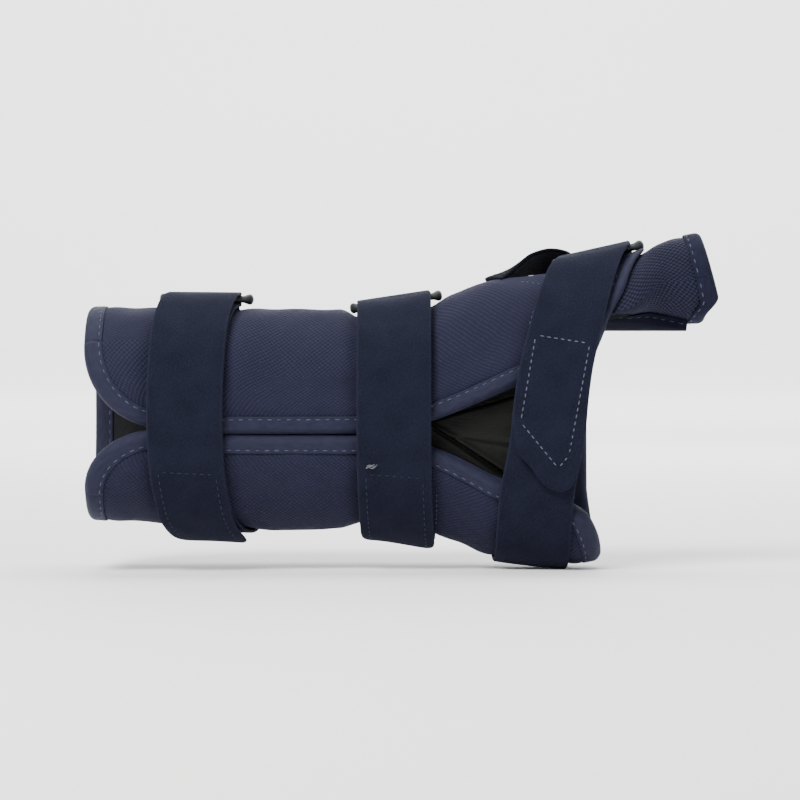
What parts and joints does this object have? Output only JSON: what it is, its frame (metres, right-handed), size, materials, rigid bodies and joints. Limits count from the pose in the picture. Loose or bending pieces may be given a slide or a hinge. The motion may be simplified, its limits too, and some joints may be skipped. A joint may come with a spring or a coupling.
{
  "type": "wrist splint",
  "caption": "Fabric wrap splint for a right wrist and thumb, with folded edge tapes, ring straps that peel open and a sliding palm stay.",
  "frame": {"origin": "middle of the arm channel under the wrist strap", "axes": "+X along the forearm towards the fingers, +Z towards the thumb side, -Y out of the back of the hand"},
  "size_m": [0.2313, 0.0724, 0.1236],
  "materials": {
    "knit": "knitted spacer mesh, matt navy",
    "open_mesh": "open perforated mesh, matt navy",
    "edge_tape": "smooth folded edge tape, navy",
    "strap_loop": "brushed loop fabric, dark navy",
    "webbing": "woven webbing, dark navy",
    "hook": "fine plastic hooks, near black",
    "satin": "smooth black lining fabric",
    "lining": "brushed black lining fabric",
    "foam": "open-cell foam, grey",
    "stay_metal": "satin",
    "ring_plastic": "moulded, satin, near black"
  },
  "bodies": {
    "root": {"radial_panel": "knit", "ulnar_panel": "knit", "volar_panel": "knit", "foam_core": "foam", "inner_lining": "lining", "dorsal_tongue": "satin", "radial_edge_tape": "edge_tape", "ulnar_edge_tape": "edge_tape", "proximal_edge_tape": "edge_tape", "palm_edge_tape": "edge_tape", "thumb_sleeve": "open_mesh", "thumb_lining": "lining", "thumb_end_tape": "edge_tape", "thumb_web_gusset": "edge_tape", "thumb_anchor_band": "webbing", "thumb_stay": "stay_metal", "volar_stay_pocket": "knit", "forearm_strap": "strap_loop", "forearm_ring_tab": "webbing", "wrist_strap": "strap_loop", "wrist_ring_tab": "webbing", "hand_strap": "strap_loop", "hand_ring_tab": "webbing"},
    "palm_stay": {"volar_stay": "stay_metal"},
    "forearm_ring": {"forearm_ring": "ring_plastic"},
    "forearm_strap_end": {"forearm_strap_end": "strap_loop", "forearm_hook_patch": "hook"},
    "wrist_ring": {"wrist_ring": "ring_plastic"},
    "wrist_strap_end": {"wrist_strap_end": "strap_loop", "wrist_hook_patch": "hook"},
    "hand_ring": {"hand_ring": "ring_plastic"},
    "hand_strap_end": {"hand_strap_end": "strap_loop", "hand_hook_patch": "hook"}
  },
  "joints": [
    {"name": "forearm_ring_swivel", "type": "hinge", "parent": "root", "child": "forearm_ring", "pos_m": [-0.07046, 0.00668, 0.04416], "axis": [-0.9954, -0.0957, 0.0086], "range_deg": [0, 20]},
    {"name": "forearm_strap_peel", "type": "hinge", "parent": "forearm_ring", "child": "forearm_strap_end", "pos_m": [-0.0696, -0.00228, 0.04416], "axis": [-0.9954, -0.0957, 0.0086], "range_deg": [0, 130]},
    {"name": "wrist_ring_swivel", "type": "hinge", "parent": "root", "child": "wrist_ring", "pos_m": [-0.00036, 0.01108, 0.04297], "axis": [-0.9888, -0.0171, -0.1483], "range_deg": [0, 20]},
    {"name": "wrist_strap_peel", "type": "hinge", "parent": "wrist_ring", "child": "wrist_strap_end", "pos_m": [-0.0002, 0.00208, 0.04297], "axis": [-0.9888, -0.0171, -0.1483], "range_deg": [0, 130]},
    {"name": "hand_ring_swivel", "type": "hinge", "parent": "root", "child": "hand_ring", "pos_m": [0.07466, 0.0065, 0.06021], "axis": [-0.9693, 0.115, -0.2171], "range_deg": [0, 20]},
    {"name": "hand_strap_peel", "type": "hinge", "parent": "hand_ring", "child": "hand_strap_end", "pos_m": [0.0736, -0.00243, 0.06021], "axis": [-0.9693, 0.115, -0.2171], "range_deg": [0, 130]},
    {"name": "palm_stay_slide", "type": "hinge", "parent": "root", "child": "palm_stay", "pos_m": [-0.025, -0.671, 0], "axis": [0, 0, 1], "range_deg": [0, 13.2]}
  ]
}
